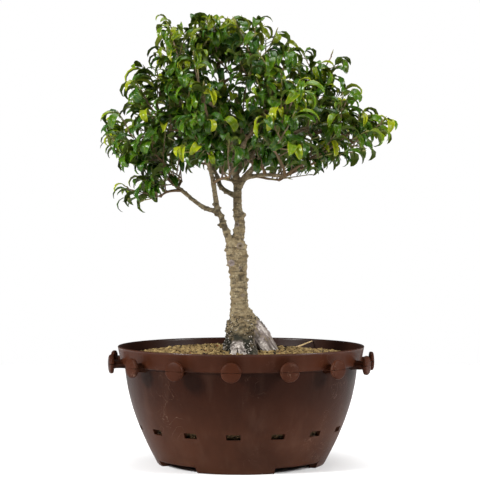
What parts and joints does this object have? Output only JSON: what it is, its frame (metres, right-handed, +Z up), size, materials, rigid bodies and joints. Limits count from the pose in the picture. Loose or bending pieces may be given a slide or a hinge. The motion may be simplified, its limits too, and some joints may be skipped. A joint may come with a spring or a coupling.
{
  "type": "bonsai tree in a training pot",
  "caption": "Small-leaved fig bonsai with a bare trunk and a domed leafy crown, growing in a round plastic training pot filled with soil.",
  "frame": {"origin": "on the ground, on the axis of the round pot, which is also the middle of the whole object's width and depth", "axes": "+Z up along the trunk, -Y towards the front, which shows the trunk's fork with the low limb on the left"},
  "size_m": [0.3158, 0.2803, 0.474],
  "materials": {
    "pot_plastic": "satin",
    "soil": "matte",
    "bark": "matte",
    "dry_twig": "matte",
    "leaf": "satin"
  },
  "bodies": {
    "root": {"pot": "pot_plastic", "soil": "soil", "trunk": "bark", "fallen_twig": "dry_twig", "leaf_shoot_01": "leaf", "leaf_shoot_02": "leaf", "leaf_shoot_03": "leaf", "leaf_shoot_04": "leaf", "leaf_shoot_05": "leaf", "leaf_shoot_06": "leaf", "leaf_shoot_07": "leaf", "leaf_shoot_08": "leaf", "leaf_shoot_09": "leaf", "leaf_shoot_10": "leaf", "leaf_shoot_11": "leaf", "leaf_shoot_12": "leaf", "leaf_shoot_13": "leaf", "leaf_shoot_14": "leaf", "leaf_shoot_15": "leaf", "leaf_shoot_16": "leaf", "leaf_shoot_17": "leaf", "leaf_shoot_18": "leaf", "leaf_shoot_19": "leaf", "leaf_shoot_20": "leaf", "leaf_shoot_21": "leaf", "leaf_shoot_22": "leaf", "leaf_shoot_23": "leaf", "leaf_shoot_24": "leaf", "leaf_shoot_25": "leaf", "leaf_shoot_26": "leaf", "leaf_shoot_27": "leaf", "leaf_shoot_28": "leaf", "leaf_shoot_29": "leaf", "leaf_shoot_30": "leaf", "leaf_shoot_31": "leaf", "leaf_shoot_32": "leaf", "leaf_shoot_33": "leaf", "leaf_shoot_34": "leaf", "leaf_shoot_35": "leaf", "leaf_shoot_36": "leaf", "leaf_shoot_37": "leaf", "leaf_shoot_38": "leaf", "leaf_shoot_39": "leaf", "leaf_shoot_40": "leaf", "leaf_shoot_41": "leaf", "leaf_shoot_42": "leaf", "leaf_shoot_43": "leaf", "leaf_shoot_44": "leaf", "leaf_shoot_45": "leaf"}
  },
  "joints": []
}
